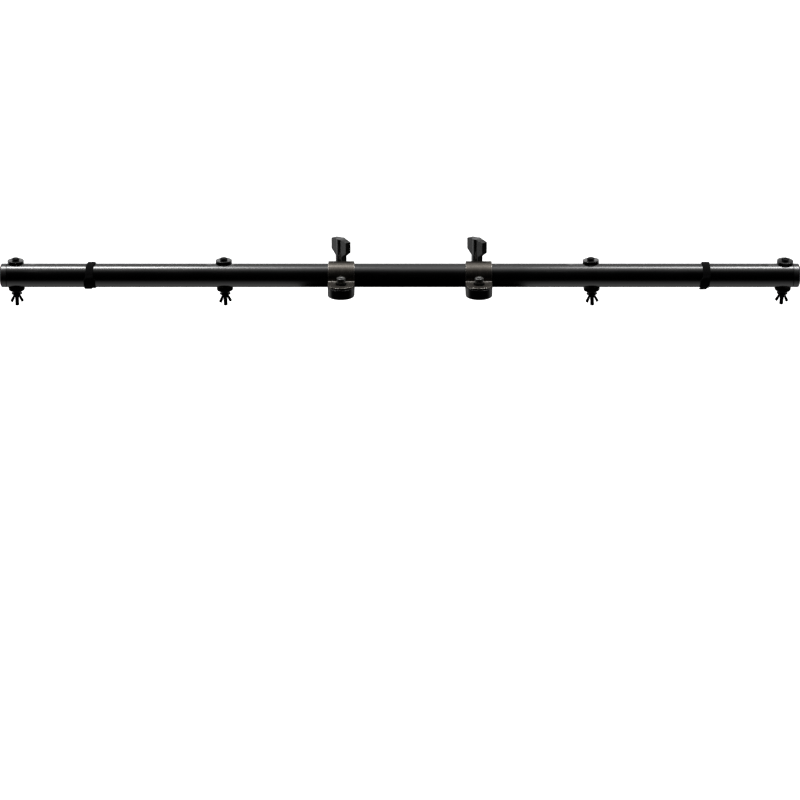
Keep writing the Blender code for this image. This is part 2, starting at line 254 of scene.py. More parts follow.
def paint(obj, finishes):
    """Adds the materials, unless the piece has them already."""
    if not obj.data.materials:
        for finish in finishes:
            obj.data.materials.append(finish)


def settle(obj, body, finishes, slot, *nodes):
    """Gives a piece its materials and its body, and hides the CAD nodes it stands for. The slot argument is
    not used.
    """
    paint(obj, finishes)
    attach(obj, body)
    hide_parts(*nodes)


# ---------------------------------------------------------------- materials
def math_node(tree, operation, one, two):
    """A Math node on two values, each a number or a socket."""
    node = tree.nodes.new("ShaderNodeMath")
    node.operation = operation
    for socket, value in zip(node.inputs, (one, two)):
        if isinstance(value, (int, float)):
            socket.default_value = value
        else:
            tree.links.new(value, socket)
    return node.outputs["Value"]


class Finish:
    """A Principled material built up from a few kinds of surface detail, in object coordinates (metres)."""

    CLOUD_ROUGHNESS = 0.55

    def __init__(self, name, colour, roughness, metallic=0.0):
        self.material = bpy.data.materials.new(name)
        self.material.use_nodes = True
        self.tree = self.material.node_tree
        self.nodes, self.links = self.tree.nodes, self.tree.links
        self.shader = self.nodes["Principled BSDF"]
        self.shader.inputs["Metallic"].default_value = metallic
        self.place = self.nodes.new("ShaderNodeTexCoord").outputs["Object"]
        self.colour = (*colour, 1.0)
        self.roughness = roughness
        self.normal = None

    def set(self, **values):
        """Sets the shader's own sockets, named with underscores for spaces."""
        for key, value in values.items():
            self.shader.inputs[key.replace("_", " ")].default_value = value
        return self

    def stretched(self, scale):
        mapping = self.nodes.new("ShaderNodeMapping")
        mapping.inputs["Scale"].default_value = scale
        self.links.new(self.place, mapping.inputs["Vector"])
        return mapping.outputs["Vector"]

    def cloud(self, scale, detail, stretch=(1, 1, 1)):
        """Soft blotches, from 0 to 1."""
        texture = self.nodes.new("ShaderNodeTexNoise")
        texture.inputs["Scale"].default_value = scale
        texture.inputs["Detail"].default_value = detail
        texture.inputs["Roughness"].default_value = self.CLOUD_ROUGHNESS
        self.links.new(self.stretched(stretch), texture.inputs["Vector"])
        return texture.outputs["Fac"]

    def cells(self, scale):
        """Small rounded pits, from 0 at each middle."""
        texture = self.nodes.new("ShaderNodeTexVoronoi")
        texture.inputs["Scale"].default_value = scale
        self.links.new(self.place, texture.inputs["Vector"])
        return texture.outputs["Distance"]

    def ramp(self, value, low, high, start=0.0, end=1.0):
        """Maps value from low..high to start..end, held at both ends."""
        node = self.nodes.new("ShaderNodeMapRange")
        node.inputs["From Min"].default_value = low
        node.inputs["From Max"].default_value = high
        node.inputs["To Min"].default_value = start
        node.inputs["To Max"].default_value = end
        self.links.new(value, node.inputs["Value"])
        return node.outputs["Result"]

    def tint(self, share, colour):
        """Lays another colour over the present one by share (a socket from 0 to 1)."""
        mix = self.nodes.new("ShaderNodeMix")
        mix.data_type = "RGBA"
        below, above, mixed = mix.inputs[6], mix.inputs[7], mix.outputs[2]
        self.links.new(share, mix.inputs["Factor"])
        self.feed(below, self.colour)
        above.default_value = (*colour, 1.0)
        self.colour = mixed
        return self

    def feed(self, socket, value):
        """Sets an input to a constant, or links a node's output to it."""
        if isinstance(value, bpy.types.NodeSocket):
            self.links.new(value, socket)
        else:
            socket.default_value = value

    def roughen(self, value):
        """Adds a socket's value to the roughness."""
        self.roughness = math_node(self.tree, "ADD", value, self.roughness)
        return self

    def bump(self, height, distance, strength):
        node = self.nodes.new("ShaderNodeBump")
        node.inputs["Strength"].default_value = strength
        node.inputs["Distance"].default_value = distance
        self.links.new(height, node.inputs["Height"])
        if self.normal is not None:
            self.links.new(self.normal, node.inputs["Normal"])
        self.normal = node.outputs["Normal"]
        return self

    def done(self):
        self.feed(self.shader.inputs["Base Color"], self.colour)
        self.feed(self.shader.inputs["Roughness"], self.roughness)
        if self.normal is not None:
            self.links.new(self.normal, self.shader.inputs["Normal"])
        return self.material


def powder_coat():
    """Black powder coat on the tube: orange peel, faint drawn lines under it, dust and a few rubs."""
    f = Finish("black_powder_coat", (0.0004, 0.0004, 0.0004), 0.21)
    f.tint(f.ramp(f.cloud(9, 4), 0.35, 0.75), (0.0008, 0.0008, 0.0008))
    f.tint(f.ramp(f.cloud(900, 2), 0.72, 0.82, 0, 0.25), (0.012, 0.012, 0.012))
    f.roughen(f.ramp(f.cloud(14, 4), 0.3, 0.7, -0.03, 0.04))
    f.roughen(f.ramp(f.cloud(60, 3, (0.3, 9, 9)), 0.62, 0.75, 0, 0.10))
    f.bump(f.cloud(650, 2), 0.00003, 0.5)
    f.bump(f.cloud(170, 1), 0.00006, 0.35)
    return f.done()


def cap_plastic():
    """Moulded plastic of the end caps, a little shinier than the tube."""
    f = Finish("black_cap_plastic", (0.004, 0.004, 0.0042), 0.24)
    f.set(Specular_IOR_Level=0.5)
    f.tint(f.ramp(f.cloud(60, 3), 0.4, 0.8), (0.008, 0.008, 0.008))
    f.roughen(f.ramp(f.cloud(90, 3), 0.3, 0.7, -0.02, 0.05))
    f.bump(f.cloud(2500, 2), 0.00001, 0.4)
    return f.done()


def clamp_steel(name, metallic):
    """Satin grey coating on the bent straps. The less metallic copy for the tops of their flanges is painted
    light: it takes more diffuse light, so the flange tops read lighter than the same steel on the strap.
    """
    f = Finish(name, (0.078, 0.071, 0.063), 0.23, metallic)
    f.set(Specular_Tint=(0.6, 0.6, 0.6, 1))
    f.tint(f.ramp(f.cloud(45, 4), 0.35, 0.75), (0.098, 0.089, 0.079))
    f.tint(f.ramp(f.cloud(1400, 2), 0.62, 0.75, 0, 0.5), (0.045, 0.042, 0.038))
    f.roughen(f.ramp(f.cloud(120, 3), 0.3, 0.7, -0.03, 0.05))
    f.roughen(f.ramp(f.cloud(80, 3, (14, 0.6, 0.6)), 0.5, 0.8, 0, 0.07))
    f.bump(f.cloud(1800, 2), 0.00002, 0.5)
    f.bump(f.cloud(500, 1), 0.00003, 0.3)
    return f.done()


def clamp_edge_wear_and_highlight():
    """Bright bare steel for the strap's rounded edges, where the coating has rubbed thin; on the bends above
    the flanges it is a painted highlight.
    """
    f = Finish("strap_edge_wear_and_painted_highlight", (0.40, 0.38, 0.35), 0.32, 0.95)
    f.tint(f.ramp(f.cloud(260, 4), 0.52, 0.68), (0.22, 0.208, 0.19))
    f.roughen(f.ramp(f.cloud(500, 3), 0.3, 0.7, -0.05, 0.10))
    f.bump(f.cloud(1500, 2), 0.00002, 0.5)
    return f.done()


def base_moulding():
    """Finely grained black moulding of the clamp bases."""
    f = Finish("black_clamp_moulding", (0.0012, 0.0012, 0.0011), 0.34)
    f.tint(f.ramp(f.cloud(70, 4), 0.4, 0.75), (0.0030, 0.0029, 0.0027))
    f.roughen(f.ramp(f.cloud(150, 3), 0.3, 0.7, -0.05, 0.06))
    f.bump(f.cells(2600), 0.00003, 0.6)
    return f.done()


def black_steel():
    """Blackened steel of the clamp screws and washers."""
    f = Finish("blackened_steel", (0.19, 0.19, 0.185), 0.29, 0.97)
    f.tint(f.ramp(f.cloud(380, 4), 0.42, 0.62), (0.09, 0.09, 0.09))
    f.tint(f.ramp(f.cloud(1600, 3), 0.62, 0.72), (0.34, 0.33, 0.31))
    f.roughen(f.ramp(f.cloud(600, 3), 0.3, 0.7, -0.06, 0.10))
    f.bump(f.cloud(3000, 2), 0.00001, 0.5)
    return f.done()


def fastener_coat():
    """Black coating on the hanger bolts, nuts, washers and wing nuts."""
    f = Finish("black_fastener_coat", (0.0006, 0.0006, 0.0006), 0.34)
    f.set(Specular_IOR_Level=0.03)
    f.tint(f.ramp(f.cloud(240, 4), 0.45, 0.75), (0.0018, 0.0018, 0.0018))
    f.tint(f.ramp(f.cloud(1200, 3), 0.66, 0.74, 0, 0.6), (0.006, 0.006, 0.006))
    f.roughen(f.ramp(f.cloud(400, 3), 0.3, 0.7, -0.05, 0.10))
    f.bump(f.cloud(1800, 2), 0.00002, 0.5)
    return f.done()


def spacer_rubber(name, roughness, specular):
    """Black rubber of the discs on the hanger bolts; those on top of the tube are polished."""
    f = Finish(name, (0.0008, 0.0008, 0.0008), roughness)
    f.set(Specular_IOR_Level=specular)
    f.tint(f.ramp(f.cloud(200, 4), 0.45, 0.8), (0.0025, 0.0025, 0.0024))
    f.roughen(f.ramp(f.cloud(300, 3), 0.3, 0.7, -0.06, 0.08))
    f.bump(f.cells(3200), 0.00002, 0.5)
    return f.done()


def knob_plastic():
    """Grained black plastic of the wing knobs, with a few upright scuffs."""
    f = Finish("black_knob_plastic", (0.0015, 0.0015, 0.0014), 0.27)
    f.tint(f.ramp(f.cloud(90, 4), 0.4, 0.75), (0.0032, 0.0032, 0.0030))
    f.tint(f.ramp(f.cloud(700, 3, (1, 1, 0.3)), 0.66, 0.78, 0, 0.5), (0.012, 0.012, 0.012))
    f.roughen(f.ramp(f.cloud(160, 3), 0.3, 0.7, -0.04, 0.07))
    f.bump(f.cells(3000), 0.000025, 0.5)
    return f.done()


def tie_fabric():
    """Looped face of the hook-and-loop ties."""
    f = Finish("hook_and_loop_fabric", (0.0010, 0.0010, 0.0010), 0.80)
    f.set(Sheen_Weight=0.02, Sheen_Roughness=0.5, Specular_IOR_Level=0.03)
    f.tint(f.ramp(f.cells(1500), 0.1, 0.7), (0.0022, 0.0022, 0.0023))
    f.tint(f.ramp(f.cloud(900, 2), 0.60, 0.75, 0, 0.7), (0.007, 0.007, 0.0073))
    f.roughen(f.ramp(f.cloud(900, 2), 0.3, 0.7, -0.08, 0.08))
    f.bump(f.cells(1500), 0.00015, 0.8)
    f.bump(f.cloud(4200, 2), 0.00006, 0.8)
    return f.done()


def floor_paint():
    """A pale matt sheet lit evenly from beneath."""
    f = Finish("pale_floor", (0.80, 0.80, 0.80), 0.9)
    f.set(Emission_Color=(1, 1, 1, 1), Emission_Strength=0.80)
    f.tint(f.ramp(f.cloud(0.6, 3), 0.35, 0.7), (0.78, 0.78, 0.78))
    f.roughen(f.ramp(f.cloud(3, 2), 0.3, 0.7, -0.03, 0.03))
    material = f.done()
    material.cycles.emission_sampling = "NONE"
    return material


FINISH = {
    "tube": powder_coat(),
    "cap": cap_plastic(),
    "strap": clamp_steel("satin_grey_steel", 0.95),
    # painted light: a lighter, more diffuse copy of the strap steel for the flange tops
    "flange": clamp_steel("satin_grey_flange_painted_light", 0.75),
    # edge wear, and a painted highlight on the bends above the flanges
    "edge": clamp_edge_wear_and_highlight(),
    "base": base_moulding(),
    "screw": black_steel(),
    "bolt": fastener_coat(),
    "top_spacer": spacer_rubber("polished_rubber", 0.20, 0.55),
    "bottom_spacer": spacer_rubber("dull_rubber", 0.55, 0.04),
    "knob": knob_plastic(),
    "tie": tie_fabric(),
}


# ---------------------------------------------------------------- camera, floor and light
CAMERA_DISTANCE = 5.2
CAMERA_ELEVATION = math.radians(18)
VIEW_WIDTH = 1.1784             # how much of the bar's length fills the picture's width
BAR_ABOVE_CENTRE = 0.183683     # how far the bar stands above the picture's middle, measured at the bar
SENSOR = 36.0                   # millimetres
FLOOR_Z = -0.60
FLOOR_REACH = 20


def set_camera():
    """Straight in front of the bar and a little above it, with the bar above the picture's middle."""
    data = bpy.data.cameras.new("camera")
    camera = bpy.data.objects.new("camera", data)
    bpy.context.scene.collection.objects.link(camera)
    data.sensor_width = SENSOR
    data.lens = SENSOR * CAMERA_DISTANCE / VIEW_WIDTH
    data.clip_end = 100
    back = Vector((0, -math.cos(CAMERA_ELEVATION), math.sin(CAMERA_ELEVATION)))
    camera.location = TUBE_MIDDLE + back * CAMERA_DISTANCE
    pitch = CAMERA_ELEVATION + math.atan(BAR_ABOVE_CENTRE / CAMERA_DISTANCE)
    camera.rotation_euler = (math.pi / 2 - pitch, 0, 0)
    bpy.context.scene.camera = camera


def grid(reach, squares):
    """A flat square sheet about the origin, reaching as far as given each way."""
    made = bmesh.new()
    bmesh.ops.create_grid(made, x_segments=squares, y_segments=squares, size=reach)
    return made


def add_floor():
    floor = shaped("floor", grid(FLOOR_REACH, 8), Matrix.Translation((0, 0, FLOOR_Z)))
    floor.data.materials.append(floor_paint())
    floor.visible_glossy = False
    floor.visible_diffuse = False


# Strip lights over the bar, which it shows as its long highlight: (name, place along X, length, radiance).
STRIPS = (("left", -0.93, 1.10, 31), ("left_near", -0.25, 0.26, 4),
          ("right_far", 0.99, 0.72, 28), ("right_near", 0.48, 0.30, 14))
STRIP_DEPTH = 0.42
STRIP_HEIGHT = 1.6              # above the tube's axis
STRIP_LEAN = math.radians(9.5)  # how far they stand behind the bar, seen from it


def strip_light(name, x, length, radiance):
    """A rectangular light facing the bar, which the camera doesn't see."""
    data = bpy.data.lights.new("strip_" + name, "AREA")
    data.shape = "RECTANGLE"
    data.size, data.size_y = length, STRIP_DEPTH
    data.energy = radiance * math.pi * length * STRIP_DEPTH
    light = bpy.data.objects.new("strip_" + name, data)
    bpy.context.scene.collection.objects.link(light)
    above_bar = Vector((0, STRIP_HEIGHT * math.tan(STRIP_LEAN), STRIP_HEIGHT))
    light.location = Vector((x, 0, AXIS_Z)) + above_bar
    light.rotation_euler = above_bar.to_track_quat("Z", "Y").to_euler()
    light.visible_camera = False


# Brightness of the studio round the bar: (degrees up from the front horizon, radiance).
DOME = ((-180, 0.20), (-145, 0.20), (-120, 0.28), (-100, 0.60), (-84, 0.78), (-69, 0.58), (-57, 0.52),
        (-45, 0.24), (-34, 0.02), (-20, 0.0), (35, 0.0), (45, 0.03), (55, 0.12), (64, 0.40),
        (73, 0.85), (82, 1.5), (94, 1.95), (107, 1.4), (119, 1.15), (130, 1.05), (141, 0.50), (150, 0.25),
        (156, 0.60), (162, 1.50), (168, 0.80), (176, 0.20), (180, 0.20))
DOME_PEAK = max(radiance for _, radiance in DOME)
# Where the dome and the wall at the bar's ends begin and end, as sideways parts of a unit direction.
DOME_WHOLE, DOME_GONE = 0.36, 0.62
WALL_BEGINS, WALL_WHOLE = 0.50, 0.75
WALL_BACK = (0.10, 0.38)        # the part toward the back at which the wall begins and is whole
WALL_RADIANCE = {"left": 1.15, "right": 0.75}
PALE_WALL = 0.95                # what the camera sees behind the floor


def eased(tree, value, start, end, level=1.0):
    """Rises smoothly from 0 at start to the level at end, held at both."""
    node = tree.nodes.new("ShaderNodeMapRange")
    node.interpolation_type = "SMOOTHSTEP"
    node.inputs["From Min"].default_value = start
    node.inputs["From Max"].default_value = end
    node.inputs["To Max"].default_value = level
    tree.links.new(value, node.inputs["Value"])
    return node.outputs["Result"]


def dome_radiance(tree, forward, up):
    """DOME's radiance in the direction of the ray, given its parts toward the front and up."""
    angle = math_node(tree, "ARCTAN2", up, forward)
    share = tree.nodes.new("ShaderNodeMapRange")
    share.inputs["From Min"].default_value = -math.pi
    share.inputs["From Max"].default_value = math.pi
    tree.links.new(angle, share.inputs["Value"])
    curve = tree.nodes.new("ShaderNodeFloatCurve")
    points = curve.mapping.curves[0].points
    stops = [(degrees / 360 + 0.5, radiance / DOME_PEAK) for degrees, radiance in DOME]
    points[0].location, points[-1].location = stops[0], stops[-1]
    for stop in stops[1:-1]:
        points.new(*stop)
    for point in points:
        point.handle_type = "VECTOR"
    curve.mapping.update()
    tree.links.new(share.outputs["Result"], curve.inputs["Value"])
    return math_node(tree, "MULTIPLY", curve.outputs["Value"], DOME_PEAK)


def set_world():
    """The dome seen in reflections; the camera itself sees a pale wall instead."""
    world = bpy.data.worlds.new("studio")
    bpy.context.scene.world = world
    world.use_nodes = True
    tree = world.node_tree
    coordinates = tree.nodes.new("ShaderNodeTexCoord")
    ray = tree.nodes.new("ShaderNodeSeparateXYZ")
    tree.links.new(coordinates.outputs["Generated"], ray.inputs["Vector"])
    across, back, up = ray.outputs["X"], ray.outputs["Y"], ray.outputs["Z"]
    total = dome_radiance(tree, math_node(tree, "MULTIPLY", back, -1), up)
    # Toward the left and right ends the dome ends, and a pale wall behind takes over.
    walls = []
    for side, sign in (("left", -1), ("right", 1)):
        total = math_node(tree, "MULTIPLY", total, eased(tree, across, sign * DOME_GONE, sign * DOME_WHOLE))
        walls.append(eased(tree, across, sign * WALL_BEGINS, sign * WALL_WHOLE, WALL_RADIANCE[side]))
    wall = math_node(tree, "MULTIPLY", math_node(tree, "ADD", *walls), eased(tree, back, *WALL_BACK))
    total = math_node(tree, "ADD", total, wall)
    rays = tree.nodes.new("ShaderNodeLightPath")
    mix = tree.nodes.new("ShaderNodeMix")
    seen_by_bar, seen_by_camera, seen = mix.inputs[2], mix.inputs[3], mix.outputs[0]
    tree.links.new(rays.outputs["Is Camera Ray"], mix.inputs["Factor"])
    tree.links.new(total, seen_by_bar)
    seen_by_camera.default_value = PALE_WALL
    background = tree.nodes["Background"]
    background.inputs["Color"].default_value = (1, 1, 1, 1)
    tree.links.new(seen, background.inputs["Strength"])


FLAG_LENGTH, FLAG_DEPTH = 0.34, 0.70
FLAG_PLACE = (0.005, 0, -0.13)


def add_flag():
    """A black card low under the middle, unseen by the camera: the dark that the bar reflects there."""
    made = grid(0.5, 2)
    bmesh.ops.scale(made, verts=made.verts, vec=(FLAG_LENGTH, FLAG_DEPTH, 1))
    flag = shaped("flag", made, Matrix.Translation(FLAG_PLACE))
    card = Finish("flag_card", (0.0, 0.0, 0.0), 1.0)
    card.set(Specular_IOR_Level=0.0)
    flag.data.materials.append(card.done())
    flag.visible_camera = False
    flag.visible_shadow = False
    flag.visible_diffuse = False


def set_light():
    set_world()
    add_flag()
    for strip in STRIPS:
        strip_light(*strip)
    bpy.context.scene.view_settings.view_transform = "Standard"


# ---------------------------------------------------------------- the tube and its caps
TUBE_SIDES = 128
RING_STEPS = 96                 # round the hollows that the tube lies in
BOLT_HOLE = 0.0045              # radius


def lay_along_x(made):
    """Turns a shape made along Z so that it lies along X, its top end at +X."""
    bmesh.ops.rotate(made, verts=made.verts, matrix=Matrix.Rotation(math.pi / 2, 3, "Y"))
    return made


def make_tube():
    """A straight tube with slightly broken edges, drilled through for the four bolts."""
    lip, bands = 0.0003, 24
    profile = [(TUBE_BORE, TUBE_HIGH - lip), (TUBE_BORE + lip, TUBE_HIGH), (TUBE_RADIUS - lip, TUBE_HIGH)]
    profile += [(TUBE_RADIUS, TUBE_HIGH - lip)]
    for i in range(1, bands):
        profile.append((TUBE_RADIUS, TUBE_HIGH - (TUBE_HIGH - TUBE_LOW) * i / bands))
    profile += [(TUBE_RADIUS, TUBE_LOW + lip), (TUBE_RADIUS - lip, TUBE_LOW), (TUBE_BORE + lip, TUBE_LOW)]
    profile += [(TUBE_BORE, TUBE_LOW + lip)]
    tube = shaped("bar_tube", lay_along_x(turned(profile, TUBE_SIDES)), Matrix.Translation(TUBE_MIDDLE))
    beyond = TUBE_RADIUS + 0.0125
    for bolt in BOLTS:
        combine(tube, cylinder(BOLT_HOLE, -beyond, beyond, 40), "DIFFERENCE", bolt_frame(bolt))
    settle(tube, "bar", [FINISH["tube"]], "tube_black", "tube")


def make_cap(side):
    """A moulded plug: a collar as wide as the tube, a rounded shoulder, and a domed face."""
    sign = 1 if side == "right" else -1
    end = TUBE_HIGH if side == "right" else TUBE_LOW
    seat = TUBE_MIDDLE + Vector((end, 0, 0))
    low, high, _, _ = span("end_cap_" + side, seat, Vector((sign, 0, 0)))
    radius, plug = TUBE_RADIUS, TUBE_BORE - GAP
    dome, shoulder, step, wall = 0.0025, 0.0018, 0.0006, 0.002
    collar = high - dome
    rim = radius - shoulder - step
    profile = [(0, high)]
    for degrees in range(8, 90, 8):
        turn = math.radians(degrees)
        profile.append((rim * math.sin(turn), collar + dome * math.cos(turn)))
    profile += [(rim + step / 2, collar - 0.0001)]
    profile += arc((radius - shoulder, collar - shoulder), shoulder, 90, 0, 6)
    profile += [(radius, GAP + 0.0004), (radius - 0.0004, GAP), (plug, GAP), (plug, low + 0.001)]
    profile += [(plug - 0.0008, low), (plug - wall, low), (plug - wall, collar - wall), (0, collar - wall)]
    made = lay_along_x(turned(profile, TUBE_SIDES, ring=False))
    placement = Matrix.Translation(seat)
    if sign < 0:
        placement = placement @ Matrix.Rotation(math.pi, 4, "Z")
    cap = shaped("cap_" + side, made, placement)
    settle(cap, "bar", [FINISH["cap"]], "cap_plastic", "end_cap_" + side)


# ---------------------------------------------------------------- hanger bolts
M6_RADIUS, M6_PITCH = 0.003, 0.001
M8_RADIUS, M8_PITCH = 0.004, 0.00125
THREAD_STEPS = 10               # rows for each turn of a thread
THREAD_DEPTH = 0.55             # of the pitch
THREAD_HALF_GROOVE = 0.40       # of the pitch
THREAD_CHAMFER = 0.6            # of the pitch, at the tip
DISC_STEPS = 72


def threaded(radius, pitch, low, high, steps=28):
    """A solid rod with a helical thread from low to high and a chamfered tip, closed at both ends."""
    made = bmesh.new()
    count = int((high - low) / pitch * THREAD_STEPS)
    chamfer = pitch * THREAD_CHAMFER
    rows = []
    for k in range(count + 1):
        height = low + (high - low) * k / count
        fade = max(0.0, min(1.0, (high - height) / pitch, (height - low) / pitch + 0.15))
        row = []
        for i in range(steps):
            angle = 2 * math.pi * i / steps
            phase = (height / pitch - i / steps) % 1.0
            groove = max(0.0, 1 - abs(phase - 0.5) / THREAD_HALF_GROOVE)
            reach = radius - pitch * THREAD_DEPTH * groove * fade
            if height - low < chamfer:
                reach -= (chamfer - (height - low)) * 0.8
            row.append(made.verts.new((reach * math.cos(angle), reach * math.sin(angle), height)))
        rows.append(row)
    for lower, upper in zip(rows, rows[1:]):
        for i in range(steps):
            j = (i + 1) % steps
            made.faces.new((lower[i], lower[j], upper[j], upper[i]))
    made.faces.new(rows[0][::-1])
    made.faces.new(rows[-1])
    return made


def make_bolt(bolt):
    """A hex-head bolt with a dished, chamfered head, smooth through the tube and threaded below it."""
    placement = bolt_frame(bolt)
    tip, top, _, _ = local_span(bolt + "_bolt", placement)
    _, disc_face, _, _ = local_span(bolt + "_top_spacer", placement)
    across, dish, washer_face = 0.010, 0.0004, 0.0004
    flat, corner = across / 2, across / math.sqrt(3) + 0.0002
    seat = disc_face + GAP
    profile = [(0, top - dish), (0.0028, top - dish), (0.0033, top), (flat * 0.93, top)]
    profile += [(flat * 1.02, top - 0.00035), (corner, top - 0.0012), (corner, seat + washer_face)]
    profile += [(flat * 0.98, seat + washer_face), (flat * 0.95, seat), (0, seat)]
    head = shaped(bolt + "_hex_bolt", turned(profile, DISC_STEPS, ring=False), placement)
    combine(head, extruded(hexagon(across), seat - 0.001, top + 0.001), "INTERSECT", placement)
    soften(head, 0.00018, 2, 40)
    combine(head, cylinder(M6_RADIUS, -TUBE_RADIUS - 0.0003, seat + 0.0005, 28), "UNION", placement)
    combine(head, threaded(M6_RADIUS, M6_PITCH, tip, -TUBE_RADIUS), "UNION", placement)
    settle(head, "bar", [FINISH["bolt"]], "bolt_black", bolt + "_bolt")


def make_washer(name, node, body, slot, placement, edge):
    """A flat washer with rounded edges in place of a CAD ring."""
    low, high, inner, outer = local_span(node, placement)
    profile = rounded([(inner, high), (outer, high), (outer, low), (inner, low)], edge, 4)
    washer = shaped(name, turned(profile, DISC_STEPS), placement, 60)
    settle(washer, body, [FINISH["bolt"]], slot, node)


def make_spacer(bolt, place):
    """A rubber disc that curves in to a smaller lower face; the top one straddles the tube a little."""
    placement = bolt_frame(bolt)
    node = f"{bolt}_{place}_spacer"
    low, high, inner, outer = local_span(node, placement)
    nose, taper, edge, straddle = 0.0098, 0.0024, 0.00015, 0.0014
    if place == "top":
        low -= straddle
    profile = [(inner, high)] + arc((outer - edge, high - edge), edge, 90, 0, 4)
    for degrees in range(0, 91, 15):
        turn = math.radians(degrees)
        profile.append((nose + (outer - nose) * math.cos(turn), low + taper * (1 - math.sin(turn))))
    profile += [(inner, low)]
    disc = shaped(f"{bolt}_{place}_disc", turned(profile, DISC_STEPS), placement, 60)
    if place == "top":
        hollow = along_x(circle(TUBE_RADIUS + GAP, RING_STEPS), outer * 4)
        combine(disc, hollow, "DIFFERENCE", Matrix.Translation(placement.translation))
        # The long highlight runs on unbroken below the discs.
        disc.visible_glossy = False
        disc.visible_shadow = False
    settle(disc, "bar", [FINISH[place + "_spacer"]], "spacer_rubber", node)


def make_lock_nut(bolt):
    """A hex nut with a round nylon collar on its lower end."""
    placement = bolt_frame(bolt)
    low, high, inner, corner = local_span(bolt + "_lock_nut", placement)
    flat = corner * math.sqrt(3) / 2
    lead, collar, fillet = 0.0003, flat * 0.95, 0.0006
    hex_low = low + 0.0009
    profile = [(inner, high - lead), (inner + lead, high), (collar, high), (corner, high - 0.0008)]
    profile += [(corner, hex_low + 0.0004), (flat * 0.99, hex_low), (collar, hex_low - 0.0001)]
    profile += arc((collar - fillet, low + fillet), fillet, 0, -90, 4) + [(inner, low)]
    nut = shaped(bolt + "_hex_nut", turned(profile, DISC_STEPS), placement)
    combine(nut, extruded(hexagon(flat * 2), low - 0.001, high + 0.001), "INTERSECT", placement)
    soften(nut, 0.00015, 2, 40)
    settle(nut, "bar", [FINISH["bolt"]], "bolt_black", bolt + "_lock_nut")


WING_BREADTH, WING_THICKNESS = 0.0044, 0.0024
WING_SLANT = math.radians(31)   # from straight down
WING_ROOT, WING_ROOT_TOP, WING_ROOT_END = 0.0035, -0.0014, -0.0064


def wing_ear(reach, drop):
    """One ear of a wing nut, as an upright plate: a slanting bar whose end is rounded at its corners."""
    along = Vector((math.sin(WING_SLANT), -math.cos(WING_SLANT)))
    across = Vector((math.cos(WING_SLANT), math.sin(WING_SLANT))) * WING_BREADTH / 2
    end = Vector((reach - WING_BREADTH / 2, WING_BREADTH / 2 - drop)) + along * WING_BREADTH * 0.28
    inner_corner, outer_corner = tuple(end - across), tuple(end + across)
    outline = [(WING_ROOT, WING_ROOT_TOP), (WING_ROOT + 0.0014, WING_ROOT_TOP), outer_corner]
    outline += [inner_corner, (WING_ROOT, WING_ROOT_END)]
    steps = 4
    first, last = 2 * (steps + 1), 4 * (steps + 1)
    outline = outline[:2] + rounded(outline, 0.0012, steps)[first:last] + outline[4:]
    made = extruded(outline, -WING_THICKNESS / 2, WING_THICKNESS / 2)
    bmesh.ops.rotate(made, verts=made.verts, matrix=Matrix.Rotation(math.pi / 2, 3, "X"))
    return made


def wing_heading(node, placement):
    """The direction of a wing nut's ears about its bolt, toward its farthest CAD point."""
    inverse = placement.inverted()
    farthest = max((inverse @ v.co for v in NODES[node].data.vertices), key=lambda p: p.x ** 2 + p.y ** 2)
    return math.atan2(farthest.y, farthest.x)


def make_wing_nut(bolt):
    """A flanged, tapered hub with two ears slanting down and out."""
    placement = bolt_frame(bolt)
    node = bolt + "_wing_nut"
    low, high, inner, reach = local_span(node, placement)
    turn = Matrix.Translation((0, 0, high)) @ Matrix.Rotation(wing_heading(node, placement), 4, "Z")
    place = placement @ turn
    flange, foot, drop = 0.0056, 0.0046, 0.0047
    hub = [(inner, 0), (flange, 0), (flange, -0.0014), (foot, -drop), (inner, -drop)]
    nut = shaped(bolt + "_winged_nut", turned(rounded(hub, 0.0004, 3), 56), place)
    for facing in (0, math.pi):
        ear_place = place @ Matrix.Rotation(facing, 4, "Z")
        combine(nut, wing_ear(reach, high - low), "UNION", ear_place)
    soften(nut, 0.00035, 3, 32)
    settle(nut, bolt + "_wing_nut_body", [FINISH["bolt"]], "bolt_black", node)


def make_hanger(bolt):
    """All that hangs on one bolt through the tube."""
    make_bolt(bolt)
    make_spacer(bolt, "top")
    make_spacer(bolt, "bottom")
    washer = bolt + "_washer"
    make_washer(bolt + "_flat_washer", washer, washer + "_body", "bolt_black", bolt_frame(bolt), 0.0003)
    make_lock_nut(bolt)
    make_wing_nut(bolt)


# ---------------------------------------------------------------- the clamps
STRAP_THICKNESS = 0.0031
FLANGE_THICKNESS = 0.003
STRAP_BEND = 0.0014             # radius of the bends into the flanges
STRAP_HOLE = 0.0044             # radius
STUD_HOLE = 0.0043              # radius, in the base and the knob
BASE_EDGE = 0.0026              # radius round the base's underside
SCREW_HEAD = 0.008              # height
THREAD_START = -0.0175          # the top of the screw's thread, from the tube's axis


def strap_outline(flange_top, toe):
    """The bent strap's end view: a half ring over the tube with a flange at each foot."""
    inner = TUBE_RADIUS + GAP
    outer = inner + STRAP_THICKNESS
    foot = flange_top - FLANGE_THICKNESS
    bend, inner_bend = STRAP_BEND, STRAP_BEND - 0.0002
    points = [(toe, flange_top)] + arc((outer + bend, flange_top + bend), bend, 270, 180, 8)
    points += arc((0, 0), outer, 0, 180, RING_STEPS)
    points += arc((-outer - bend, flange_top + bend), bend, 0, -90, 8) + [(-toe, flange_top)]
    points += [(-toe, foot)] + arc((-inner - inner_bend, foot + inner_bend), inner_bend, -90, 0, 6)
    points += arc((0, 0), inner, 180, 0, RING_STEPS)
    points += arc((inner + inner_bend, foot + inner_bend), inner_bend, 180, 270, 6) + [(toe, foot)]
    return points


def screw_frame(side):
    """The front clamp screw's own axes, with the origin level with the tube's axis."""
    screw = middle(side + "_front_screw")
    return Matrix.Translation((screw.x, screw.y, AXIS_Z))


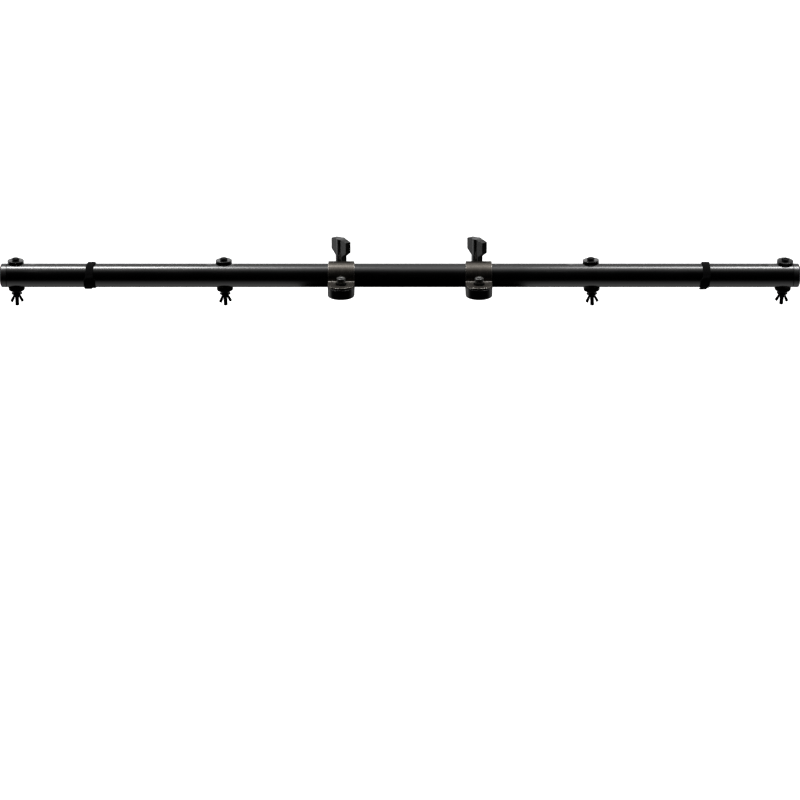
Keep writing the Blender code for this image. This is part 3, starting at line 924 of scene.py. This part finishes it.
def paint_flanges(strap, flange_top):
    """Gives the tops of the flanges the less metallic copy of the steel, which is painted light, and the bends
    above them the bright edge material as a painted highlight.
    """
    outer = TUBE_RADIUS + GAP + STRAP_THICKNESS
    bend = flange_top + STRAP_BEND
    wear_and_highlight, painted_light_top = 1, 2
    for face in strap.data.polygons:
        height, away = face.center.z, abs(face.center.y) - outer
        # painted light: flange tops take the lighter, less metallic copy of the steel
        if face.normal.z > 0.95 and abs(height - flange_top) < 0.0001:
            face.material_index = painted_light_top
        # painted highlight: the bends above the flanges take the bright edge material
        elif -0.0002 < away < 0.0008 and flange_top < height < bend:
            face.material_index = wear_and_highlight


def make_strap(side):
    """The strap, cut to the round-ended plan of its clamp, with a hole in each flange."""
    placement = clamp_frame(side)
    node = side + "_clamp_strap"
    low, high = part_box(node)
    width, toe = high.x - low.x, high.y
    flange_top = low.z - AXIS_Z + FLANGE_THICKNESS
    bent = along_x(strap_outline(flange_top, toe + 0.002), width * 1.05)
    strap = shaped(side + "_strap", bent, placement)
    combine(strap, extruded(stadium(toe, width / 2), -0.03, 0.03), "INTERSECT", placement)
    for hole in (screw_frame(side), knob_frame(side)):
        combine(strap, cylinder(STRAP_HOLE, -0.02, 0.01), "DIFFERENCE", hole)
    paint(strap, [FINISH["strap"], FINISH["edge"], FINISH["flange"]])
    soften(strap, 0.00024, 3, 40, wear_and_highlight=True)
    paint_flanges(strap, flange_top)
    settle(strap, "clamps", [], "clamp_grey", node)


def make_base(side):
    """The moulded block under a clamp: a round-ended plan, a channel for the tube and two screw holes."""
    placement = clamp_frame(side)
    node = side + "_clamp_base"
    low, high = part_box(node)
    radius = (high.x - low.x) / 2
    bottom, top = low.z - AXIS_Z, high.z - AXIS_Z
    block = extruded(stadium(high.y, radius), bottom, top)
    lower = [edge for edge in block.edges if all(abs(v.co.z - bottom) < 1e-6 for v in edge.verts)]
    bmesh.ops.bevel(block, geom=lower, offset=BASE_EDGE, segments=6, profile=0.5, affect="EDGES")
    base = shaped(side + "_saddle_base", block, placement)
    channel = along_x(circle(TUBE_RADIUS + GAP, RING_STEPS), radius * 3)
    combine(base, channel, "DIFFERENCE", placement)
    for hole in (screw_frame(side), knob_frame(side)):
        combine(base, cylinder(STUD_HOLE, -0.03, 0.0), "DIFFERENCE", hole)
    soften(base, 0.0005, 3, 40)
    settle(base, "clamps", [FINISH["base"]], "clamp_black", node)


def make_clamp_screw(side):
    """A socket-head screw with a knurled head, a hex socket and a threaded shank, and its washer."""
    node = side + "_front_screw"
    placement = screw_frame(side)
    tip, top, _, radius = local_span(node, placement)
    seat = top - SCREW_HEAD
    rim, knurl_depth, knurls = 0.0007, 0.018, 44

    def knurl(angle, height):
        if seat + 0.0012 < height < top - rim * 1.2:
            return 1 - knurl_depth * (0.5 + 0.5 * math.cos(knurls * angle))
        return 0.988

    profile = [(0, top), (radius - rim * 1.6, top)] + arc((radius - rim, top - rim), rim, 80, 0, 4)
    profile += [(radius, top - rim * 1.3), (radius, (top + seat) / 2), (radius, seat + 0.0014)]
    profile += [(radius, seat + 0.0010), (radius - 0.0003, seat), (0, seat)]
    head_shape = turned(profile, knurls * 4, ring=False, waver=knurl)
    head = shaped(side + "_socket_screw", head_shape, placement, 50)
    socket = extruded(hexagon(0.006), top - 0.004, top + 0.001)
    combine(head, socket, "DIFFERENCE", placement)
    flare_top, flare_foot = (0.0047, top + 0.001), (0.0031, top - 0.0006)
    flare = turned([(0, flare_top[1]), flare_top, flare_foot, (0, flare_foot[1])], 48, ring=False)
    combine(head, flare, "DIFFERENCE", placement)
    combine(head, cylinder(M8_RADIUS, THREAD_START - 0.0005, seat + 0.001, 32), "UNION", placement)
    combine(head, threaded(M8_RADIUS, M8_PITCH, tip, THREAD_START, 32), "UNION", placement)
    settle(head, "clamps", [FINISH["screw"]], "screw_steel", node)
    washer = side + "_front_washer"
    make_washer(side + "_screw_washer", washer, "clamps", "screw_steel", placement, 0.0005)


# ---------------------------------------------------------------- the wing knobs
KNOB_TURN = math.radians(-53)   # of its wings about the stud
KNOB_THICKNESS = 0.0094
KNOB_HUB = 0.0068               # radius of the round swelling in the wings' middle
KNOB_STEM = 0.0075              # radius
# Heights from the tube's axis: where the stem widens into the wings, its end inside them, and the wings' tips.
KNOB_SHOULDER, KNOB_STEM_END = 0.020, 0.0215
KNOB_TIP_LOW, KNOB_TIP_HIGH = 0.0285, 0.0437
KNOB_SOCKET = 0.0163            # depth


def knob_plan(half_span):
    """The knob from above: a plate with a round hub swelling out of its middle."""
    half = KNOB_THICKNESS / 2
    tip = half * 0.97
    start = math.degrees(math.asin(half / KNOB_HUB))
    points = [(half_span, -tip), (half_span, tip)]
    points += arc((0, 0), KNOB_HUB, start, 180 - start, 20)
    points += [(-half_span, tip), (-half_span, -tip)]
    points += arc((0, 0), KNOB_HUB, 180 + start, 360 - start, 20)
    return points


def knob_face(half_span, low, crown):
    """The knob from the front: a crowned top, upright tips, a tapered foot and a stem."""
    points = [(KNOB_STEM, low), (KNOB_STEM, KNOB_SHOULDER), (half_span, KNOB_TIP_LOW)]
    steps = 24
    for i in range(steps + 1):
        share = 1 - 2 * i / steps
        rise = (crown - KNOB_TIP_HIGH) * (1 - share * share)
        points.append((half_span * share, KNOB_TIP_HIGH + rise))
    points += [(-half_span, KNOB_TIP_LOW), (-KNOB_STEM, KNOB_SHOULDER), (-KNOB_STEM, low)]
    return points


def make_knob(side):
    """A wing knob: the plan and the face cut each other out, and a round stem joins them below."""
    placement = knob_frame(side)
    node = side + "_knob"
    low, high, _, reach = local_span(node, placement)
    # The farthest corner of the CAD plate lies off its middle line by half its thickness.
    half_span = math.sqrt(reach ** 2 - (KNOB_THICKNESS / 2) ** 2) + 0.0002
    place = placement @ Matrix.Rotation(KNOB_TURN, 4, "Z")
    plate = extruded(knob_plan(half_span), low + 0.001, high + 0.002)
    knob = shaped(side + "_wing_grip", plate, place)
    face = extruded(knob_face(half_span + 0.001, low, high), -0.02, 0.02)
    bmesh.ops.rotate(face, verts=face.verts, matrix=Matrix.Rotation(math.pi / 2, 3, "X"))
    combine(knob, face, "INTERSECT", place)
    combine(knob, cylinder(KNOB_STEM, low, KNOB_STEM_END, 64), "UNION", place)
    soften(knob, 0.0003, 3, 30)
    socket = cylinder(STUD_HOLE, low - 0.001, low + KNOB_SOCKET)
    combine(knob, socket, "DIFFERENCE", place)
    settle(knob, side + "_wing_knob", [FINISH["knob"]], "knob_plastic", node)


def make_stud(side):
    """The threaded stud that the knob turns on, and the washer under the knob."""
    placement = knob_frame(side)
    node = side + "_knob_stud"
    low, high, _, radius = local_span(node, placement)
    stud = shaped(side + "_threaded_stud", threaded(radius, M8_PITCH, low, high, 32), placement, 60)
    settle(stud, side + "_wing_knob", [FINISH["screw"]], "screw_steel", node)
    washer = side + "_knob_washer"
    make_washer(side + "_knob_flat_washer", washer, washer + "_body", "screw_steel", placement, 0.0003)


# ---------------------------------------------------------------- the fabric ties
TIE_LAYER = 0.0011              # thickness
TIE_AIR = 0.00015               # under the strip, and between its layers
TIE_SLACK = 0.0016              # how far it stands off the top of the tube
TIE_FRAY, TIE_FUZZ = 0.0004, 0.00028                # unevenness of its edges and of its face
# Degrees round the tube are counted from its rear side, up over the top; 180 is the front.
TIE_START = 181
TIE_LAP = 90                    # degrees of overlap
# How far the strip strays sideways as it winds: (degrees from its start, metres).
TIE_WANDER = {
    "left": ((0, 0.0026), (179, 0.0030), (262, 0.0021), (305, -0.0003), (346, -0.0005), (368, -0.0033),
             (450, -0.0030)),
    "right": ((0, -0.0004), (179, -0.0020), (262, -0.0007), (300, 0.0000), (346, 0.0001), (370, -0.0034),
              (450, -0.0044)),
}
TIE_TAIL_LIFT = {"left": 0.0002, "right": 0.0013}


def smooth_step(value):
    value = max(0.0, min(1.0, value))
    return value * value * (3 - 2 * value)


def wander(stops, turn):
    """The sideways place at a turn, eased from one stop to the next."""
    for (here, place), (there, next_place) in zip(stops, stops[1:]):
        if turn <= there:
            return place + (next_place - place) * smooth_step((turn - here) / (there - here))
    return stops[-1][1]


def tie_reach(side, turn):
    """Inner radius of the strip: slack over the top, and one layer higher where it laps over its start."""
    slack = TIE_SLACK * math.exp(-((turn - 272) / 34) ** 2)
    lap = smooth_step((turn - 338) / 20) * (TIE_LAYER + TIE_AIR)
    tail = TIE_TAIL_LIFT[side] * smooth_step((turn - 405) / 45)
    return TUBE_RADIUS + TIE_AIR + slack + lap + tail


def bridge(made, first, second):
    """Faces between two rows of vertices of the same length."""
    for i in range(len(first) - 1):
        made.faces.new((first[i], first[i + 1], second[i + 1], second[i]))


def make_tie(side):
    """A fabric strip wound once round the tube, its end lapped over its start."""
    node = "cable_tie_" + side
    low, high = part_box(node)
    centre = Vector(((low.x + high.x) / 2, 0, AXIS_Z))
    width = high.x - low.x
    rows, columns = 240, 22
    made = bmesh.new()
    outer_rows, inner_rows, middles = [], [], []
    for i in range(rows + 1):
        turn = (360 + TIE_LAP) * i / rows
        angle = math.radians(TIE_START + turn)
        outward = Vector((0, math.cos(angle), math.sin(angle)))
        reach = tie_reach(side, turn)
        drift = wander(TIE_WANDER[side], turn)
        fray = [TIE_FRAY * noise.noise(Vector((turn * 0.21, edge, len(side)))) for edge in (2.0, 7.0)]
        outer_row, inner_row = [], []
        for j in range(columns + 1):
            across = j / columns - 0.5
            x = across * width + drift + fray[0 if across < 0 else 1] * abs(across) * 2
            fuzz = TIE_FUZZ * noise.noise(Vector((x * 1500, turn * 0.45, len(side))))
            swell = TIE_LAYER * (1 - 0.45 * abs(across * 2) ** 8) + fuzz
            for radius, row in ((reach + swell, outer_row), (reach, inner_row)):
                row.append(made.verts.new(Vector((x, 0, 0)) + outward * radius))
        outer_rows.append(outer_row)
        inner_rows.append(inner_row)
        middles.append(Vector((drift, 0, 0)) + outward * (reach + TIE_LAYER / 2))
    for i in range(rows):
        bridge(made, outer_rows[i], outer_rows[i + 1])
        bridge(made, inner_rows[i + 1], inner_rows[i])
    for j in (0, columns):
        bridge(made, [row[j] for row in outer_rows], [row[j] for row in inner_rows])
    for i in (0, rows):
        bridge(made, outer_rows[i], inner_rows[i])
    tie = shaped("fabric_tie_" + side, made, Matrix.Translation(centre), 70)
    settle(tie, side + "_tie", [FINISH["tie"]], "tie_fabric", node)


# ---------------------------------------------------------------- build
set_camera()
add_floor()
set_light()
make_tube()
for side_name in SIDES:
    make_cap(side_name)
    make_strap(side_name)
    make_base(side_name)
    make_clamp_screw(side_name)
    make_knob(side_name)
    make_stud(side_name)
    make_tie(side_name)
for bolt_name in BOLTS:
    make_hanger(bolt_name)

bpy.context.view_layer.update()
